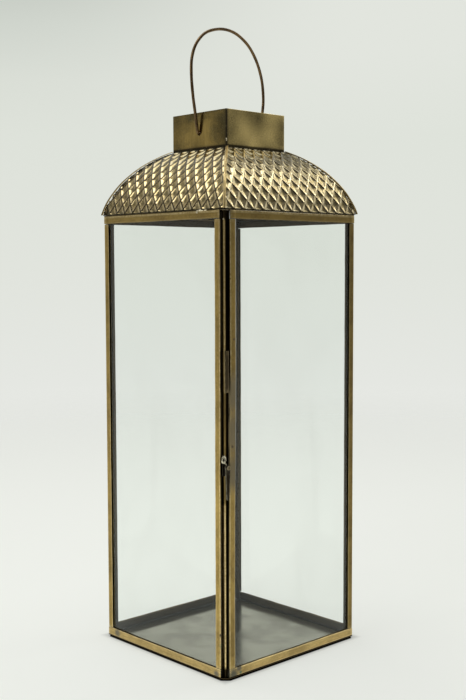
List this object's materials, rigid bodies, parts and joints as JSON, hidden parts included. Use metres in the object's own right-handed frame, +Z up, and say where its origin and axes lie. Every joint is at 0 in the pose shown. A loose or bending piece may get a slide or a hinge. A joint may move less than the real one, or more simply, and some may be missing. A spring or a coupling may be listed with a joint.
{
  "type": "lantern",
  "caption": "Tall square brass and glass candle lantern with a diamond-embossed dished hip roof, an open square chimney, a wire bail and a hinged glazed front door.",
  "frame": {"origin": "centre of the square footprint, on the surface the lantern stands on", "axes": "+Z up along the lantern's height; -Y out of the front, through the hinged door; +X towards the door's hinge side"},
  "size_m": [0.1849, 0.1829, 0.6064],
  "materials": {
    "back_panel_bottom_rail": "antique brass sheet, rubbed at the edges, darker in the folds",
    "back_panel_glass": "clear float glass, faint green-grey tint at the edges",
    "back_panel_left_stile": "antique brass sheet, rubbed at the edges, darker in the folds",
    "back_panel_right_stile": "antique brass sheet, rubbed at the edges, darker in the folds",
    "back_panel_top_rail": "antique brass sheet, rubbed at the edges, darker in the folds",
    "bail_handle": "bronze-brown lacquered brass wire",
    "base_plate": "tinned steel sheet, smooth and mirror-like, slightly dulled",
    "chimney": "brushed brass with tarnish clouds",
    "corner_clip": "dark antique brass, rubbed along its edge",
    "corner_post_back_left": "antique brass sheet, rubbed at the edges, darker in the folds",
    "corner_post_back_right": "antique brass sheet, rubbed at the edges, darker in the folds",
    "corner_post_front_left": "antique brass sheet, rubbed at the edges, darker in the folds",
    "corner_post_front_right": "antique brass sheet, rubbed at the edges, darker in the folds",
    "door_bottom_rail": "antique brass sheet, rubbed at the edges, darker in the folds",
    "door_glass": "clear float glass, faint green-grey tint at the edges",
    "door_hinge_stile": "antique brass sheet, rubbed at the edges, darker in the folds",
    "door_latch_stile": "antique brass sheet, rubbed at the edges, darker in the folds",
    "door_pivot_bottom": "dark brass wire",
    "door_pivot_top": "dark brass wire",
    "door_top_rail": "antique brass sheet, rubbed at the edges, darker in the folds",
    "eave_ring": "antique brass sheet, rubbed at the edges, darker in the folds",
    "foot_rim": "blackened brass strip",
    "hip_seam_back_left": "antique brass sheet, rubbed at the edges, darker in the folds",
    "hip_seam_back_right": "antique brass sheet, rubbed at the edges, darker in the folds",
    "hip_seam_front_left": "antique brass sheet, rubbed at the edges, darker in the folds",
    "hip_seam_front_right": "antique brass sheet, rubbed at the edges, darker in the folds",
    "latch_bracket": "antique brass, rubbed bright on the stud head",
    "latch_lever": "dark antique brass with a brighter wire ring",
    "left_panel_back_stile": "antique brass sheet, rubbed at the edges, darker in the folds",
    "left_panel_bottom_rail": "antique brass sheet, rubbed at the edges, darker in the folds",
    "left_panel_front_stile": "antique brass sheet, rubbed at the edges, darker in the folds",
    "left_panel_glass": "clear float glass, faint green-grey tint at the edges",
    "left_panel_top_rail": "antique brass sheet, rubbed at the edges, darker in the folds",
    "right_panel_back_stile": "antique brass sheet, rubbed at the edges, darker in the folds",
    "right_panel_bottom_rail": "antique brass sheet, rubbed at the edges, darker in the folds",
    "right_panel_front_stile": "antique brass sheet, rubbed at the edges, darker in the folds",
    "right_panel_glass": "clear float glass, faint green-grey tint at the edges",
    "right_panel_top_rail": "antique brass sheet, rubbed at the edges, darker in the folds",
    "roof_panel_back": "diamond-embossed brass, polished ridges over dark olive pans",
    "roof_panel_front": "diamond-embossed brass, polished ridges over dark olive pans",
    "roof_panel_left": "diamond-embossed brass, polished ridges over dark olive pans",
    "roof_panel_right": "diamond-embossed brass, polished ridges over dark olive pans"
  },
  "bodies": {
    "body": {"back_panel_bottom_rail": "back_panel_bottom_rail", "back_panel_glass": "back_panel_glass", "back_panel_left_stile": "back_panel_left_stile", "back_panel_right_stile": "back_panel_right_stile", "back_panel_top_rail": "back_panel_top_rail", "base_plate": "base_plate", "chimney": "chimney", "corner_clip": "corner_clip", "corner_post_back_left": "corner_post_back_left", "corner_post_back_right": "corner_post_back_right", "corner_post_front_left": "corner_post_front_left", "corner_post_front_right": "corner_post_front_right", "eave_ring": "eave_ring", "foot_rim": "foot_rim", "hip_seam_back_left": "hip_seam_back_left", "hip_seam_back_right": "hip_seam_back_right", "hip_seam_front_left": "hip_seam_front_left", "hip_seam_front_right": "hip_seam_front_right", "latch_bracket": "latch_bracket", "left_panel_back_stile": "left_panel_back_stile", "left_panel_bottom_rail": "left_panel_bottom_rail", "left_panel_front_stile": "left_panel_front_stile", "left_panel_glass": "left_panel_glass", "left_panel_top_rail": "left_panel_top_rail", "right_panel_back_stile": "right_panel_back_stile", "right_panel_bottom_rail": "right_panel_bottom_rail", "right_panel_front_stile": "right_panel_front_stile", "right_panel_glass": "right_panel_glass", "right_panel_top_rail": "right_panel_top_rail", "roof_panel_back": "roof_panel_back", "roof_panel_front": "roof_panel_front", "roof_panel_left": "roof_panel_left", "roof_panel_right": "roof_panel_right"},
    "door": {"door_latch_stile": "door_latch_stile", "door_hinge_stile": "door_hinge_stile", "door_bottom_rail": "door_bottom_rail", "door_top_rail": "door_top_rail", "door_glass": "door_glass", "door_pivot_bottom": "door_pivot_bottom", "door_pivot_top": "door_pivot_top"},
    "latch": {"latch_lever": "latch_lever"},
    "bail": {"bail_handle": "bail_handle"}
  },
  "joints": [
    {"name": "door_hinge", "type": "hinge", "parent": "body", "child": "door", "pos_m": [0.0834, -0.0885, 0.2], "axis": [0, 0, 1], "range_deg": [0, 120]},
    {"name": "latch_pivot", "type": "hinge", "parent": "body", "child": "latch", "pos_m": [-0.0874, -0.0912, 0.1959], "axis": [0, -1, 0], "range_deg": [-90, 90]},
    {"name": "bail_pivot", "type": "hinge", "parent": "body", "child": "bail", "pos_m": [0, 0, 0.5017], "axis": [1, 0, 0], "range_deg": [-105, 105]}
  ]
}
